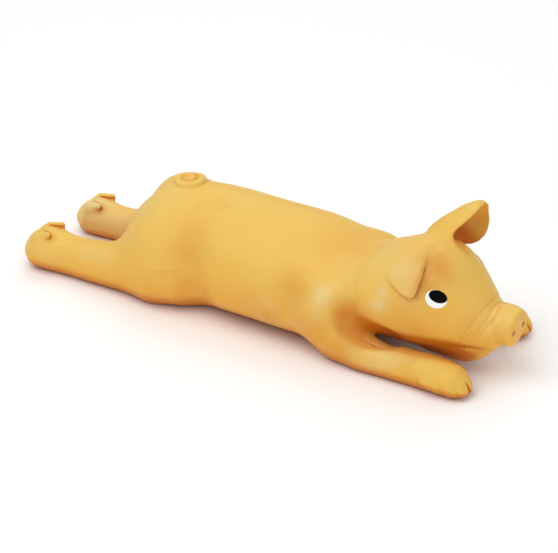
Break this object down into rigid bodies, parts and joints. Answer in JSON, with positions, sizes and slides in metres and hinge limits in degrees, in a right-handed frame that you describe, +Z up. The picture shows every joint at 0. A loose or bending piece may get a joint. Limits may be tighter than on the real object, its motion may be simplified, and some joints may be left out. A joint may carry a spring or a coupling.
{
  "type": "squeaking latex dog toy in the shape of a lying pig",
  "caption": "Yellow latex squeaky dog toy pig lying on its belly, head, legs and ears flexing, fibre filled, with a reed squeaker in the belly.",
  "frame": {"origin": "on the flat belly patch the pig lies on, on its middle plane, halfway between hind trotters and fore trotters", "axes": "+X from tail to snout, +Y to the pig's own left, +Z up from the floor"},
  "size_m": [0.2274, 0.0702, 0.0628],
  "materials": {
    "latex": "matte",
    "fibre": "matte",
    "eye_white": "satin",
    "eye_black": "satin",
    "squeaker_plastic": "matte",
    "reed_film": "gloss"
  },
  "bodies": {
    "body": {"body_skin": "latex", "body_fill": "fibre", "tail": "latex", "squeaker_cup": "squeaker_plastic", "squeaker_cap": "squeaker_plastic", "reed_block": "squeaker_plastic", "reed_wedge": "squeaker_plastic"},
    "head": {"head_skin": "latex", "head_fill": "fibre", "eye_white_left": "eye_white", "eye_white_right": "eye_white", "pupil_left": "eye_black", "pupil_right": "eye_black"},
    "ear_left": {"ear_left": "latex"},
    "ear_right": {"ear_right": "latex"},
    "fore_leg_left": {"fore_leg_left": "latex"},
    "fore_leg_right": {"fore_leg_right": "latex"},
    "hind_leg_left": {"hind_leg_left": "latex"},
    "hind_leg_right": {"hind_leg_right": "latex"},
    "reed": {"reed": "reed_film"}
  },
  "joints": [
    {"name": "head_nod", "type": "hinge", "parent": "body", "child": "head", "pos_m": [0.053, 0, 0.0265], "axis": [0, -1, 0], "range_deg": [0, 18], "stiffness_Nm_per_rad": 0.8},
    {"name": "fore_leg_right_swing", "type": "hinge", "parent": "body", "child": "fore_leg_right", "pos_m": [0.06, -0.022, 0.0083], "axis": [0, 0, -1], "range_deg": [0, 25], "stiffness_Nm_per_rad": 0.25},
    {"name": "fore_leg_left_swing", "type": "hinge", "parent": "body", "child": "fore_leg_left", "pos_m": [0.06, 0.025, 0.0083], "axis": [0, 0, 1], "range_deg": [0, 25], "stiffness_Nm_per_rad": 0.25},
    {"name": "hind_leg_right_swing", "type": "hinge", "parent": "body", "child": "hind_leg_right", "pos_m": [-0.0755, -0.0195, 0.01], "axis": [0, 0, 1], "range_deg": [-6, 20], "stiffness_Nm_per_rad": 0.25},
    {"name": "hind_leg_left_swing", "type": "hinge", "parent": "body", "child": "hind_leg_left", "pos_m": [-0.0755, 0.0165, 0.0088], "axis": [0, 0, -1], "range_deg": [-6, 20], "stiffness_Nm_per_rad": 0.25},
    {"name": "ear_right_lift", "type": "hinge", "parent": "head", "child": "ear_right", "pos_m": [0.069, -0.009, 0.0493], "axis": [-0.8122, -0.1273, -0.5694], "range_deg": [0, 45], "stiffness_Nm_per_rad": 0.01},
    {"name": "ear_left_swing", "type": "hinge", "parent": "head", "child": "ear_left", "pos_m": [0.0755, 0.016, 0.0455], "axis": [-0.0133, 0.7406, -0.6719], "range_deg": [-12, 15], "stiffness_Nm_per_rad": 0.01},
    {"name": "reed_flutter", "type": "hinge", "parent": "body", "child": "reed", "pos_m": [-0.01653, 0, 0.0132], "axis": [0, -1, 0], "range_deg": [-1.5, 4], "stiffness_Nm_per_rad": 0.00005}
  ]
}
